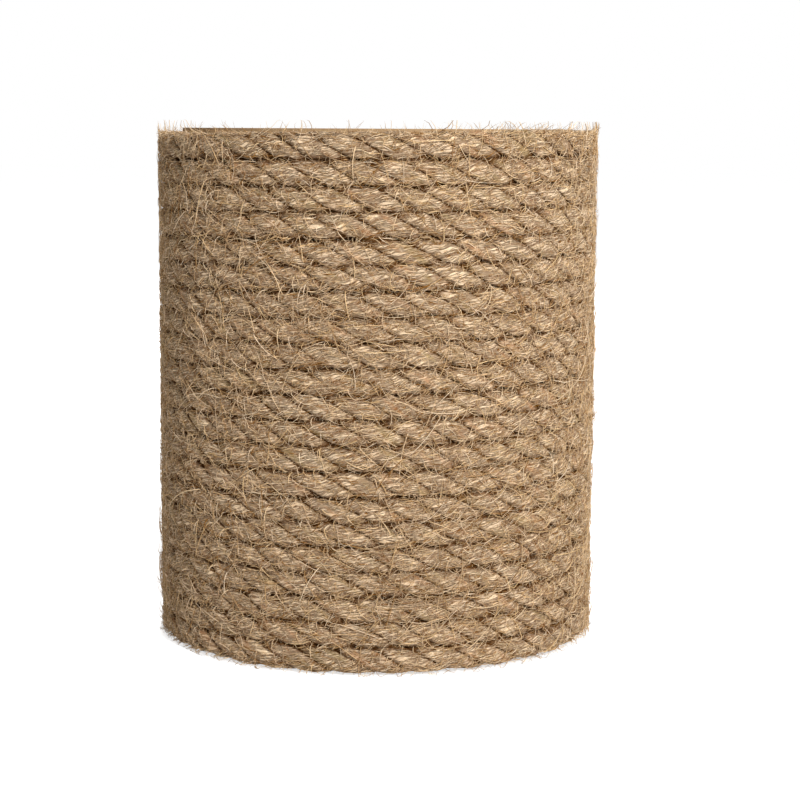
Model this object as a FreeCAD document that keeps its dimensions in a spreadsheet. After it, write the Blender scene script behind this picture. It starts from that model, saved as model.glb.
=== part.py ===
import FreeCAD
import Part
import Sketcher
import math
import os

# A section of cat scratching post: a paperboard tube wound with jute rope, plugged at
# both ends by plywood discs that carry M8 tee nuts. Millimetres, +Z up, with the origin
# at the centre of the bottom end face. -Y is the side the photograph shows.

# ---------------------------------------------------------------------------------------
# Driving dimensions: alias, value, what it is
# ---------------------------------------------------------------------------------------

SIZES = [
    ("tube_length", 130.0, "length of the tube, which is the height of the post"),
    ("tube_outer_diameter", 100.0, "outside of the paperboard tube"),
    ("tube_wall", 5.0, "wall of the paperboard tube"),
    ("rope_diameter", 6.0, "rope with its fuzz, which sets how many turns fit"),
    ("rope_fuzz", 0.4, "loose fibre on each side, left out of the solid rope"),
    ("rope_seat_gap", 0.3, "air between the solid rope and the tube"),
    ("rope_end_margin", 0.95, "bare tube above the last turn and below the first"),
    ("rope_start_azimuth", 150.0, "where the rope begins, in degrees from +X"),
    ("rope_flatness", 0.85, "how nearly the first and last turn follow the rim"),
    ("rope_settling_turns", 5.0, "turns over which that step spreads to a plain helix"),
    ("disc_thickness", 15.0, "plywood disc in each end of the tube"),
    ("disc_fit", 0.15, "air between a disc and the tube, on the radius"),
    ("disc_chamfer", 0.8, "broken edges of a disc"),
    ("disc_hole_diameter", 10.0, "hole drilled through a disc for the tee nut"),
    ("tee_barrel_fit", 0.1, "air between barrel and hole, on the radius"),
    ("tee_barrel_length", 11.0, "tee nut's barrel, below its flange"),
    ("tee_bore_diameter", 6.8, "M8 tap drill, to which the thread is drawn plain"),
    ("tee_flange_diameter", 22.0, "tee nut's flange"),
    ("tee_flange_thickness", 1.5, "sheet the tee nut is drawn from"),
    ("tee_prong_circle", 18.0, "circle on which the prongs stand"),
    ("tee_prong_width", 3.6, "prong at its root"),
    ("tee_prong_length", 6.5, "prong below the flange"),
    ("tee_prong_count", 4.0, "prongs on a tee nut"),
    ("stud_length", 40.0, "connecting stud, stored in the top tee nut"),
    ("stud_fit", 0.05, "air between stud and tee nut, on the radius"),
    ("stud_recess", 1.0, "stud's end below the top face when stored"),
    ("stud_chamfer", 0.9, "lead at each end of the stud"),
    ("stud_socket_width", 4.0, "hexagon socket across its flats"),
    ("stud_socket_depth", 5.0, "hexagon socket"),
    ("disc_staple_count", 6.0, "staples round each disc"),
    ("disc_staple_width", 10.0, "crown of a staple that holds a disc"),
    ("disc_staple_leg", 20.0, "leg of a staple that holds a disc"),
    ("disc_staple_sink", 0.3, "crown's flat outside below the tube's surface"),
    ("staple_wire_width", 1.1, "staple wire across the crown"),
    ("staple_wire_thickness", 0.6, "staple wire through the crown"),
    ("rope_staple_width", 8.0, "crown of a staple that holds the rope"),
    ("rope_staple_leg", 10.0, "leg of a staple that holds the rope"),
    ("rope_staple_proud", 0.05, "crown above the solid rope, within the fuzz"),
    ("rope_staple_first", 7.0, "first staple from where the wound rope begins"),
    ("rope_staple_spacing", 11.0, "second staple from the first"),
    ("glue_radius", 1.4, "bead of hot-melt glue beside the climbing turn"),
    ("glue_end_gap", 0.3, "bare tube between the bead and the end of the tube"),
    ("glue_sweep", 68.0, "bead round the tube, in degrees"),
    ("glue_before_rope", 10.0, "end of the bead from the start of the rope, in degrees"),
]

SHEET = "sizes"
ENDS = ("bottom", "top")
FULL_TURN = 360.0
CLIMB_SHARE = 0.25  # share of a turn in which the rope steps up beside its own start
ARCS_PER_TURN = 4  # knots of the rope's path, one a quarter turn
SAMPLES_PER_TURN = 48  # points per turn at which the rope's gap to itself is measured
NEXT_TURN = (36, 60)  # samples ahead of a point between which its neighbour on the next turn lies

# Sketcher's own numbers, for the axes of a sketch and for the points of a curve
AXIS = {"horizontal": -1, "vertical": -2}
POINT = {"start": 1, "end": 2, "centre": 3}
ORIGIN_POINT = (AXIS["horizontal"], POINT["start"])


def make_sheet(doc):
    """The spreadsheet of driving dimensions, one row each: value with its alias, then words."""
    sheet = doc.addObject("Spreadsheet::Sheet", SHEET)
    for row, (alias, value, words) in enumerate(SIZES, start=1):
        sheet.set(f"A{row}", str(value))
        sheet.setAlias(f"A{row}", alias)
        sheet.set(f"B{row}", words)
    doc.recompute()
    return sheet


# ---------------------------------------------------------------------------------------
# Sketches and features. A size is text: an expression over the sheet's cells, in which
# a driving dimension is written as its alias between braces.
# ---------------------------------------------------------------------------------------


def cells(words):
    """'{tube_wall}/2' as FreeCAD reads it, 'sizes.tube_wall/2'."""
    return words.replace("{", SHEET + ".").replace("}", "")


def new_body(doc, label):
    body = doc.addObject("PartDesign::Body", label)
    body.Label = label
    return body


def new_sketch(body, name, plane="XY_Plane", height=None):
    """A sketch on one of the body's own origin planes, moved along its normal by height."""
    sketch = body.newObject("Sketcher::SketchObject", name)
    feature = next(f for f in body.Origin.OriginFeatures if f.Role == plane)
    sketch.AttachmentSupport = [(feature, "")]
    sketch.MapMode = "FlatFace"
    if height:
        sketch.setExpression("AttachmentOffset.Base.z", cells(height))
    return sketch


def constrain(sketch, kind, references, size):
    """Adds a dimension and ties it to the sheet."""
    value = sketch.evalExpression(cells(size))
    number = sketch.addConstraint(Sketcher.Constraint(kind, *references, value))
    sketch.setExpression(f"Constraints[{number}]", cells(size))


def draw_circle(sketch, radius):
    """A circle round the sketch's origin."""
    upwards = FreeCAD.Vector(0, 0, 1)
    drawn = Part.Circle(FreeCAD.Vector(), upwards, sketch.evalExpression(cells(radius)))
    circle = sketch.addGeometry(drawn)
    sketch.addConstraint(Sketcher.Constraint("Coincident", circle, POINT["centre"], *ORIGIN_POINT))
    constrain(sketch, "Radius", (circle,), radius)


def to_vector(sketch, corner):
    """The point that corner, a pair of sizes (x, y), stands for now."""
    return FreeCAD.Vector(*(sketch.evalExpression(cells(size)) for size in corner))


def join(sketch, curve, point, other, other_point):
    """Makes a point of one curve coincide with a point of another."""
    ends = (curve, POINT[point], other, POINT[other_point])
    sketch.addConstraint(Sketcher.Constraint("Coincident", *ends))


def draw_outline(sketch, corners):
    """A closed outline of straight lines through corners, each a pair of sizes (x, y)."""
    points = [to_vector(sketch, corner) for corner in corners]
    ends = points[1:] + points[:1]
    lines = [sketch.addGeometry(Part.LineSegment(a, b)) for a, b in zip(points, ends)]
    for line, following, corner in zip(lines, lines[1:] + lines[:1], corners):
        join(sketch, line, "end", following, "start")
        place_point(sketch, line, "start", corner)


def place_point(sketch, curve, point, corner):
    """Holds a point of a curve at corner, a pair of sizes (x, y) from the sketch's origin."""
    directions = (("DistanceX", AXIS["vertical"]), ("DistanceY", AXIS["horizontal"]))
    for (kind, axis), size in zip(directions, corner):
        if size == "0":
            sketch.addConstraint(Sketcher.Constraint("PointOnObject", curve, POINT[point], axis))
        else:
            constrain(sketch, kind, (*ORIGIN_POINT, curve, POINT[point]), size)


def add_pad(body, sketch, name, length, midplane=False):
    pad = body.newObject("PartDesign::Pad", name)
    pad.Profile = sketch
    pad.Midplane = midplane
    pad.setExpression("Length", cells(length))
    return pad


def add_pocket_through(body, sketch, name):
    """Cuts right through the solid, both ways from the sketch."""
    pocket = body.newObject("PartDesign::Pocket", name)
    pocket.Profile = sketch
    pocket.Type = "ThroughAll"
    pocket.Midplane = True


def add_revolution(body, sketch, name, angle=str(FULL_TURN)):
    """Turns the sketch about its own vertical axis."""
    turned = body.newObject("PartDesign::Revolution", name)
    turned.Profile = sketch
    turned.ReferenceAxis = (sketch, ["V_Axis"])
    turned.setExpression("Angle", cells(angle))


def add_ring(body, feature, sketch, name, count):
    """Repeats a feature evenly about the normal of its sketch."""
    ring = body.newObject("PartDesign::PolarPattern", name)
    ring.Originals = [feature]
    ring.Axis = (sketch, ["N_Axis"])
    ring.Angle = FULL_TURN
    ring.setExpression("Occurrences", cells(count))
    body.Tip = ring


def cut_for(doc, label, base, tools):
    """The named sub-part: base, less the room that each of the tools takes in it."""
    for number, tool in enumerate(tools, start=1):
        cut = doc.addObject("Part::Cut", f"{label}_cut_{number}")
        cut.Base = base
        cut.Tool = tool
        base = cut
    base.Label = label
    return base


def break_edges(body, pad, name, size):
    """Chamfers the round edges of a pad."""
    body.Document.recompute()
    chamfer = body.newObject("PartDesign::Chamfer", name)
    chamfer.Base = (pad, [f"Edge{n}" for n, edge in enumerate(pad.Shape.Edges, 1) if edge.isClosed()])
    chamfer.setExpression("Size", cells(size))


def turn_over(body):
    """Puts a body that was drawn at the bottom end at the top end, upside down."""
    half_turn = FreeCAD.Rotation(FreeCAD.Vector(1, 0, 0), 180)
    body.Placement = FreeCAD.Placement(FreeCAD.Vector(), half_turn)
    body.setExpression("Placement.Base.z", cells("{tube_length}"))


# ---------------------------------------------------------------------------------------
# Tube, discs and hardware
# ---------------------------------------------------------------------------------------

TUBE_RADIUS = "{tube_outer_diameter}/2"
TUBE_BORE_RADIUS = "({tube_outer_diameter}/2 - {tube_wall})"
STUD_RADIUS = "({tee_bore_diameter}/2 - {stud_fit})"


def make_tube(doc):
    """The spiral-wound paperboard tube that carries everything."""
    body = new_body(doc, "tube_blank")
    ring = new_sketch(body, "tube_ring")
    draw_circle(ring, TUBE_RADIUS)
    draw_circle(ring, TUBE_BORE_RADIUS)
    add_pad(body, ring, "tube_pad", "{tube_length}")
    return body


def make_disc(doc, end):
    """A plywood disc as it lies in the bottom end, its outer face on the ground plane."""
    body = new_body(doc, f"{end}_disc_blank")
    outline = new_sketch(body, f"{end}_disc_outline")
    draw_circle(outline, TUBE_BORE_RADIUS + " - {disc_fit}")
    pad = add_pad(body, outline, f"{end}_disc_pad", "{disc_thickness}")
    break_edges(body, pad, f"{end}_disc_edges", "{disc_chamfer}")
    drilled = new_sketch(body, f"{end}_disc_drilled")
    draw_circle(drilled, "{disc_hole_diameter}/2")
    add_pocket_through(body, drilled, f"{end}_disc_hole")
    return body


def make_tee_nut(doc, end):
    """A pronged tee nut as it is driven into the inner face of the bottom disc."""
    body = new_body(doc, f"{end}_tee_nut")
    profile = new_sketch(body, f"{end}_tee_profile", plane="XZ_Plane")
    flange_seat = "{disc_thickness}"
    flange_top = "{disc_thickness} + {tee_flange_thickness}"
    barrel_foot = "{disc_thickness} - {tee_barrel_length}"
    bore = "{tee_bore_diameter}/2"
    barrel = "{disc_hole_diameter}/2 - {tee_barrel_fit}"
    flange = "{tee_flange_diameter}/2"
    corners = [
        (bore, barrel_foot),
        (barrel, barrel_foot),
        (barrel, flange_seat),
        (flange, flange_seat),
        (flange, flange_top),
        (bore, flange_top),
    ]
    draw_outline(profile, corners)
    add_revolution(body, profile, f"{end}_tee_turned")
    prong = new_sketch(body, f"{end}_tee_prong_outline", plane="YZ_Plane", height="{tee_prong_circle}/2")
    half_width = "{tee_prong_width}/2"
    tip = ("0", "{disc_thickness} - {tee_prong_length}")
    draw_outline(prong, [("-" + half_width, flange_top), tip, (half_width, flange_top)])
    prong_pad = add_pad(body, prong, f"{end}_tee_prong", "{tee_flange_thickness}", midplane=True)
    ring_axis = new_sketch(body, f"{end}_tee_axis")
    add_ring(body, prong_pad, ring_axis, f"{end}_tee_prongs", "{tee_prong_count}")
    return body


def make_staple_ring(doc, label, crown_outside):
    """Staples through the tube's wall into the edge of the bottom disc, or the room they need."""
    body = new_body(doc, label)
    body.AllowCompound = True
    outline = new_sketch(body, f"{label}_outline", height="{disc_thickness}/2")
    crown_seat = TUBE_RADIUS + " - {disc_staple_sink} - {staple_wire_thickness}"
    tips = TUBE_RADIUS + " - {disc_staple_sink} - {disc_staple_leg}"
    outer_side = "{disc_staple_width}/2"
    inner_side = outer_side + " - {staple_wire_thickness}"
    corners = [
        (crown_outside, f"-({outer_side})"),
        (crown_outside, outer_side),
        (tips, outer_side),
        (tips, inner_side),
        (crown_seat, inner_side),
        (crown_seat, f"-({inner_side})"),
        (tips, f"-({inner_side})"),
        (tips, f"-({outer_side})"),
    ]
    draw_outline(outline, corners)
    wire = add_pad(body, outline, f"{label}_wire", "{staple_wire_width}", midplane=True)
    add_ring(body, wire, outline, f"{label}_ring", "{disc_staple_count}")
    return body


def make_disc_staples(doc, end):
    """Six staples that hold a disc in the tube, their flat crowns sunk flush."""
    return make_staple_ring(doc, f"{end}_disc_staples", TUBE_RADIUS + " - {disc_staple_sink}")


def make_staple_seats(doc, end):
    """What those staples take out of the tube: like them, but open to the outside."""
    return make_staple_ring(doc, f"{end}_staple_seats", TUBE_RADIUS + " + {disc_staple_sink}")


def make_stud(doc):
    """The M8 connecting stud, drawn plain at its core, stored just below the top face."""
    body = new_body(doc, "connecting_stud")
    section = new_sketch(body, "stud_section", height="{tube_length} - {stud_recess} - {stud_length}")
    draw_circle(section, STUD_RADIUS)
    pad = add_pad(body, section, "stud_rod", "{stud_length}")
    break_edges(body, pad, "stud_leads", "{stud_chamfer}")
    socket = new_sketch(body, "stud_socket_outline", height="{tube_length} - {stud_recess}")
    corner_radius = "{stud_socket_width}/2/cos(30 deg)"
    corners = [
        (f"{corner_radius}*cos({angle} deg)", f"{corner_radius}*sin({angle} deg)")
        for angle in range(30, 390, 60)
    ]
    draw_outline(socket, corners)
    pocket = body.newObject("PartDesign::Pocket", "stud_socket")
    pocket.Profile = socket
    pocket.setExpression("Length", cells("{stud_socket_depth}"))
    return body


def make_glue_bead(doc, end):
    """A half-round bead of hot-melt glue on the tube, below the turn that climbs away."""
    body = new_body(doc, f"{end}_glue_bead")
    profile = new_sketch(body, f"{end}_glue_profile", plane="XZ_Plane")
    foot = (TUBE_RADIUS, "{glue_end_gap}")
    crest = (TUBE_RADIUS + " + {glue_radius}", "{glue_end_gap} + {glue_radius}")
    head = (TUBE_RADIUS, "{glue_end_gap} + 2*{glue_radius}")
    points = [to_vector(profile, corner) for corner in (foot, crest, head)]
    line = profile.addGeometry(Part.LineSegment(points[2], points[0]))
    arc = profile.addGeometry(Part.Arc(*points))
    join(profile, line, "end", arc, "start")
    join(profile, line, "start", arc, "end")
    profile.addConstraint(Sketcher.Constraint("PointOnObject", arc, POINT["centre"], line))
    place_point(profile, line, "end", foot)
    place_point(profile, line, "start", head)
    add_revolution(body, profile, f"{end}_glue_turned", "{glue_sweep}")
    return body


# ---------------------------------------------------------------------------------------
# Rope: one unbroken length, wound from the bottom end to the top end
# ---------------------------------------------------------------------------------------


class Winding:
    """The rope's path. A turn is counted from where the wound rope begins.

    In the middle of the post the rope is a plain helix. At each end it lies nearly flat
    along the rim and steps up beside its own start, as rope does when it is wound by
    hand, and that step spreads out over the turns beside it.
    """

    def __init__(self, sheet):
        length = sheet.get("tube_length")
        margin = sheet.get("rope_end_margin")
        rows = int((length - 2 * margin) / sheet.get("rope_diameter"))
        self.pitch = (length - 2 * margin) / rows
        self.rope_radius = sheet.get("rope_diameter") / 2 - sheet.get("rope_fuzz")
        self.radius = sheet.get("tube_outer_diameter") / 2 + sheet.get("rope_seat_gap") + self.rope_radius
        self.first_height = margin + self.pitch / 2
        self.turns = rows - CLIMB_SHARE
        self.start_azimuth = math.radians(sheet.get("rope_start_azimuth"))
        self.flatness = sheet.get("rope_flatness")
        self.settling = sheet.get("rope_settling_turns")

    def height(self, turn):
        """Height of the rope's centre: a plain helix, drawn to a flat turn with one step."""
        helix = turn - (1 - CLIMB_SHARE) / 2
        whole = math.floor(turn)
        into_climb = max(0.0, (turn - whole - 1 + CLIMB_SHARE) / CLIMB_SHARE)
        stepped = whole + into_climb * into_climb * (3 - 2 * into_climb)
        from_end = max(0.0, min(turn, self.turns - turn))
        share = self.flatness * max(0.0, 1 - from_end / self.settling)
        return self.first_height + self.pitch * (helix + share * (stepped - helix))

    def point(self, turn):
        azimuth = self.start_azimuth + turn * 2 * math.pi
        return FreeCAD.Vector(
            self.radius * math.cos(azimuth), self.radius * math.sin(azimuth), self.height(turn)
        )

    def direction(self, turn):
        """Unit tangent, the way the rope runs."""
        step = 0.001
        ahead = min(turn + step, self.turns)
        behind = max(turn - step, 0.0)
        slope = (self.height(ahead) - self.height(behind)) / (ahead - behind)
        azimuth = self.start_azimuth + turn * 2 * math.pi
        round_the_post = 2 * math.pi * self.radius
        tangent = FreeCAD.Vector(
            -round_the_post * math.sin(azimuth), round_the_post * math.cos(azimuth), slope
        )
        return tangent.normalize()

    def turn_at(self, distance):
        """The turn at a distance along the wound rope from its start, or its end if negative."""
        turn = abs(distance) / (2 * math.pi * self.radius)
        return turn if distance > 0 else self.turns - turn


def arc_from(start, tangent, end):
    """The circular arc that leaves start along tangent and ends at end."""
    chord = end - start
    sideways = chord - tangent * chord.dot(tangent)
    radius = chord.dot(chord) / (2 * sideways.Length)
    centre = start + sideways.normalize() * radius
    middle = (start + end) * 0.5 - centre
    return Part.Arc(start, centre + middle.normalize() * radius, end)


def joined_arcs(start, start_tangent, end, end_tangent):
    """Two arcs that leave start and reach end along the given tangents, and meet smoothly."""
    chord = end - start
    tangents = start_tangent + end_tangent
    spread = 2 * (1 - start_tangent.dot(end_tangent))
    along = chord.dot(tangents)
    reach = (math.sqrt(along * along + spread * chord.dot(chord)) - along) / spread
    joint = (start + end + (start_tangent - end_tangent) * reach) * 0.5
    second = arc_from(end, -end_tangent, joint)
    return [arc_from(start, start_tangent, joint).toShape(), reversed_edge(second)]


def reversed_edge(arc):
    arc.reverse()
    return arc.toShape()


def rope_path(winding):
    """The rope's centre line: quarter turns of two arcs each, and a straight tail at each end."""
    quarters = math.ceil(winding.turns * ARCS_PER_TURN)
    knots = [winding.turns * n / quarters for n in range(quarters + 1)]
    points = [winding.point(turn) for turn in knots]
    tangents = [winding.direction(turn) for turn in knots]
    tail = 2 * winding.rope_radius
    edges = [Part.LineSegment(points[0] - tangents[0] * tail, points[0]).toShape()]
    for n in range(quarters):
        edges += joined_arcs(points[n], tangents[n], points[n + 1], tangents[n + 1])
    edges.append(Part.LineSegment(points[-1], points[-1] + tangents[-1] * tail).toShape())
    return Part.Wire(edges)


def make_rope(doc, winding):
    """The wound rope as one unbroken tube."""
    path = rope_path(winding)
    start = path.OrderedEdges[0]
    section = Part.Circle(start.valueAt(start.FirstParameter), winding.direction(0), winding.rope_radius)
    rope = doc.addObject("Part::Feature", "rope_blank")
    rope.Shape = path.makePipeShell([Part.Wire(section.toShape())], True, False)
    expected = math.pi * winding.rope_radius**2 * path.Length
    print(f"rope: {winding.turns:.2f} turns, pitch {winding.pitch:.2f} mm, length {path.Length:.0f} mm")
    print(f"rope: volume {rope.Shape.Volume:.0f} mm3, section times length {expected:.0f} mm3")
    print(f"rope: least gap to itself {least_gap(path, winding):.2f} mm")
    return rope


def least_gap(path, winding):
    """Least gap between neighbouring turns, measured on points of the path itself."""
    points = path.discretize(int(winding.turns * SAMPLES_PER_TURN))
    distances = []
    for n, point in enumerate(points):
        neighbours = points[n + NEXT_TURN[0] : n + NEXT_TURN[1]]
        distances += [distance_to_segment(point, a, b) for a, b in zip(neighbours, neighbours[1:])]
    return min(distances) - 2 * winding.rope_radius


def distance_to_segment(point, a, b):
    along = (b - a).dot(point - a) / (b - a).dot(b - a)
    nearest = a + (b - a) * max(0.0, min(1.0, along))
    return (point - nearest).Length


def make_rope_staples(doc, sheet, winding, end):
    """Two staples along the rope at one of its ends, legs through the rope into the tube."""
    first = sheet.get("rope_staple_first")
    spacing = sheet.get("rope_staple_spacing")
    side = 1 if end == "bottom" else -1
    staples = [
        place_rope_staple(doc, sheet, winding, f"{end}_rope_staple_{n + 1}", side * (first + n * spacing))
        for n in range(2)
    ]
    group = doc.addObject("Part::Compound", f"{end}_rope_staples")
    group.Links = staples
    return group


def place_rope_staple(doc, sheet, winding, name, distance):
    """One staple: a crown and two legs, with the crown along the rope and the legs inward."""
    turn = winding.turn_at(distance)
    seat = winding.point(turn)
    outward = FreeCAD.Vector(seat.x, seat.y, 0).normalize()
    along = winding.direction(turn)
    across = outward.cross(along)
    crown_top = seat + outward * (winding.rope_radius + sheet.get("rope_staple_proud"))
    half_crown = sheet.get("rope_staple_width") / 2
    thickness = sheet.get("staple_wire_thickness")
    staple = doc.addObject("Part::MultiFuse", name)
    wires = []
    for piece, length, depth, begins in (
        ("crown", "rope_staple_width", "staple_wire_thickness", -half_crown),
        ("near_leg", "staple_wire_thickness", "rope_staple_leg", -half_crown),
        ("far_leg", "staple_wire_thickness", "rope_staple_leg", half_crown - thickness),
    ):
        wire = doc.addObject("Part::Box", f"{name}_{piece}")
        wire.setExpression("Length", cells("{" + length + "}"))
        wire.setExpression("Width", cells("{staple_wire_width}"))
        wire.setExpression("Height", cells("{" + depth + "}"))
        corner = crown_top + along * begins - across * (sheet.get("staple_wire_width") / 2)
        lowered = corner - outward * sheet.get(depth)
        wire.Placement = FreeCAD.Placement(lowered, FreeCAD.Rotation(along, across, outward, "XYZ"))
        wires.append(wire)
    staple.Shapes = wires
    return staple


# ---------------------------------------------------------------------------------------
# Assembly
# ---------------------------------------------------------------------------------------


def build(doc):
    """Builds every sub-part and returns them, each under the Label that names its file."""
    sheet = make_sheet(doc)
    winding = Winding(sheet)
    tube = make_tube(doc)
    discs = {end: make_disc(doc, end) for end in ENDS}
    tee_nuts = {end: make_tee_nut(doc, end) for end in ENDS}
    disc_staples = {end: make_disc_staples(doc, end) for end in ENDS}
    staple_seats = {end: make_staple_seats(doc, end) for end in ENDS}
    rope_staples = {end: make_rope_staples(doc, sheet, winding, end) for end in ENDS}
    glue_beads = {end: make_glue_bead(doc, end) for end in ENDS}
    stud = make_stud(doc)
    rope = make_rope(doc, winding)

    for bodies in (discs, tee_nuts, disc_staples, staple_seats):
        turn_over(bodies["top"])
    place_glue_beads(glue_beads)

    kept = [
        cut_for(doc, "core_tube", tube, [*staple_seats.values(), *rope_staples.values()]),
        cut_for(doc, "rope_winding", rope, rope_staples.values()),
        *(cut_for(doc, f"{end}_disc", discs[end], (tee_nuts[end], disc_staples[end])) for end in ENDS),
        *tee_nuts.values(),
        *disc_staples.values(),
        *rope_staples.values(),
        *glue_beads.values(),
        stud,
    ]
    doc.recompute()
    return kept


def place_glue_beads(beads):
    """The bottom bead lies just ahead of the rope's start, the top one just past its end."""
    starts = {
        "bottom": "{rope_start_azimuth} - {glue_before_rope} - {glue_sweep}",
        "top": f"{{rope_start_azimuth}} - {FULL_TURN * CLIMB_SHARE} + {{glue_before_rope}}",
    }
    lifts = {"bottom": "0", "top": "{tube_length} - 2*({glue_end_gap} + {glue_radius})"}
    for end, bead in beads.items():
        bead.Placement = FreeCAD.Placement(FreeCAD.Vector(), FreeCAD.Vector(0, 0, 1), 0)
        bead.setExpression("Placement.Rotation.Angle", cells(starts[end]))
        bead.setExpression("Placement.Base.z", cells(lifts[end]))


def check(doc, kept):
    """Stops if any object failed, or a sub-part is empty, broken or not solid."""
    for thing in doc.Objects:
        if "Invalid" in thing.State or "Error" in thing.State:
            raise RuntimeError(f"{thing.Name} failed: {thing.State}")
    for part in kept:
        shape = part.Shape
        if shape.isNull() or not shape.isValid() or not shape.Solids:
            raise RuntimeError(f"{part.Label} has no valid solid")
        box = shape.BoundBox
        print(
            f"{part.Label}: {len(shape.Solids)} solids, {shape.Volume:.0f} mm3, "
            f"{box.XLength:.2f} x {box.YLength:.2f} x {box.ZLength:.2f} mm"
        )


def main():
    doc = FreeCAD.newDocument("scratching_post")
    kept = build(doc)
    check(doc, kept)
    os.makedirs("parts", exist_ok=True)
    for part in kept:
        part.Shape.exportStep(os.path.join("parts", part.Label + ".step"))


main()
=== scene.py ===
"""A section of cat scratching post: a paper tube wound with hairy three-strand jute rope,
plugged by plywood discs that carry tee nuts, with a connecting stud.

Metres, +Z up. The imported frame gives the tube, the discs and the hardware; the rope, its
loose fibre and the finer hardware are made here, in the places that the frame gives.
"""

import math

import bpy
from mathutils import Euler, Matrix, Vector


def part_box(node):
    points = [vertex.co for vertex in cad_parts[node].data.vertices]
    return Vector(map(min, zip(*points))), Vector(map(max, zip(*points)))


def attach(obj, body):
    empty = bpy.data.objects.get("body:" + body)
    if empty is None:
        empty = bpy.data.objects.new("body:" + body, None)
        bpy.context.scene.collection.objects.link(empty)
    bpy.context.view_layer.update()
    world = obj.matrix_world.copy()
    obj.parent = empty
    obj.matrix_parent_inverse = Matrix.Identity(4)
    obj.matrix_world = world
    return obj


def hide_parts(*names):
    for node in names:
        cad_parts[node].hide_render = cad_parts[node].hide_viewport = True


bl_info = {
    "name": "Scratching Post",
    "version": (1, 0, 0),
    "blender": (4, 5, 0),
    "location": "View3D > Sidebar > Post",
    "description": "Jute-wound scratching post section with its hardware and a plain studio",
    "category": "Add Mesh",
}

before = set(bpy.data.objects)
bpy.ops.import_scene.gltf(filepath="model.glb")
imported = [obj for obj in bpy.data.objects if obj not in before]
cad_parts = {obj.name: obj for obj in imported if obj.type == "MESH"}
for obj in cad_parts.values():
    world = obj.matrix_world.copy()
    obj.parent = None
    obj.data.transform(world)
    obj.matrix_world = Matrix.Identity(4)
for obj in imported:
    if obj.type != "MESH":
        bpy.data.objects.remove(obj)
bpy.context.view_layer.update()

MM = 0.001
TURN = 2 * math.pi
BODY = "post"

TUBE_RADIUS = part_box("core_tube")[1].x
POST_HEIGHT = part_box("core_tube")[1].z

FLOOR_GAP = 0.15 * MM  # loose fibre stays this far above the floor
HAIR_OVER_TOP = 2 * MM  # and reaches this far above the post


# ---- Node trees ----


def feed(tree, slot, value):
    """Joins a socket to an input, or sets the input to a plain value."""
    if isinstance(value, Field):
        value = value.socket
    if isinstance(value, bpy.types.NodeSocket):
        tree.links.new(value, slot)
    else:
        slot.default_value = value


def operation(kind):
    """A method of Field that adds a Math node of one kind."""
    return lambda field, *others: field.math(kind, *others)


class Field:
    """A number inside a node tree. Arithmetic on it adds Math nodes to the tree."""

    def __init__(self, tree, socket):
        self.tree = tree
        self.socket = socket

    def math(self, operation, *others):
        node = self.tree.nodes.new("ShaderNodeMath")
        node.operation = operation
        for slot, value in zip(node.inputs, (self, *others)):
            feed(self.tree, slot, value)
        return Field(self.tree, node.outputs[0])

    def __rsub__(self, other):
        return (self * -1).math("ADD", other)

    __add__ = __radd__ = operation("ADD")
    __sub__ = operation("SUBTRACT")
    __mul__ = __rmul__ = operation("MULTIPLY")
    __truediv__ = operation("DIVIDE")
    sin = operation("SINE")
    cos = operation("COSINE")
    floor = operation("FLOOR")
    fraction = operation("FRACT")
    size = operation("ABSOLUTE")
    root = operation("SQRT")
    power = operation("POWER")
    at_least = operation("MAXIMUM")
    at_most = operation("MINIMUM")


class Builder:
    """Adds nodes to one tree, by kind, with inputs given by name or number."""

    def __init__(self, tree):
        self.tree = tree

    def node(self, kind, inputs=(), **settings):
        node = self.tree.nodes.new(kind)
        for name, value in settings.items():
            setattr(node, name, value)
        for name, value in dict(inputs).items():
            feed(self.tree, node.inputs[name], value)
        return node

    def output(self, kind, inputs=(), **settings):
        """The first output of a new node."""
        return self.node(kind, inputs, **settings).outputs[0]

    def field(self, kind, inputs=(), **settings):
        return Field(self.tree, self.output(kind, inputs, **settings))

    def vector(self, x, y, z):
        return self.output("ShaderNodeCombineXYZ", {0: x, 1: y, 2: z})

    def parts(self, vector):
        split = self.node("ShaderNodeSeparateXYZ", {0: vector})
        return [Field(self.tree, socket) for socket in split.outputs]

    def noise(self, vector, scale=1.0, detail=0.0, roughness=0.5):
        """Smooth noise of the given scale, from 0 to 1 about 0.5."""
        inputs = {"Vector": vector, "Scale": scale, "Detail": detail, "Roughness": roughness}
        return self.field("ShaderNodeTexNoise", inputs)

    def swing(self, vector, detail=1.0):
        """The same noise from about -1 to 1."""
        return (self.noise(vector, 1.0, detail) - 0.5) * 4.0


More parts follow.
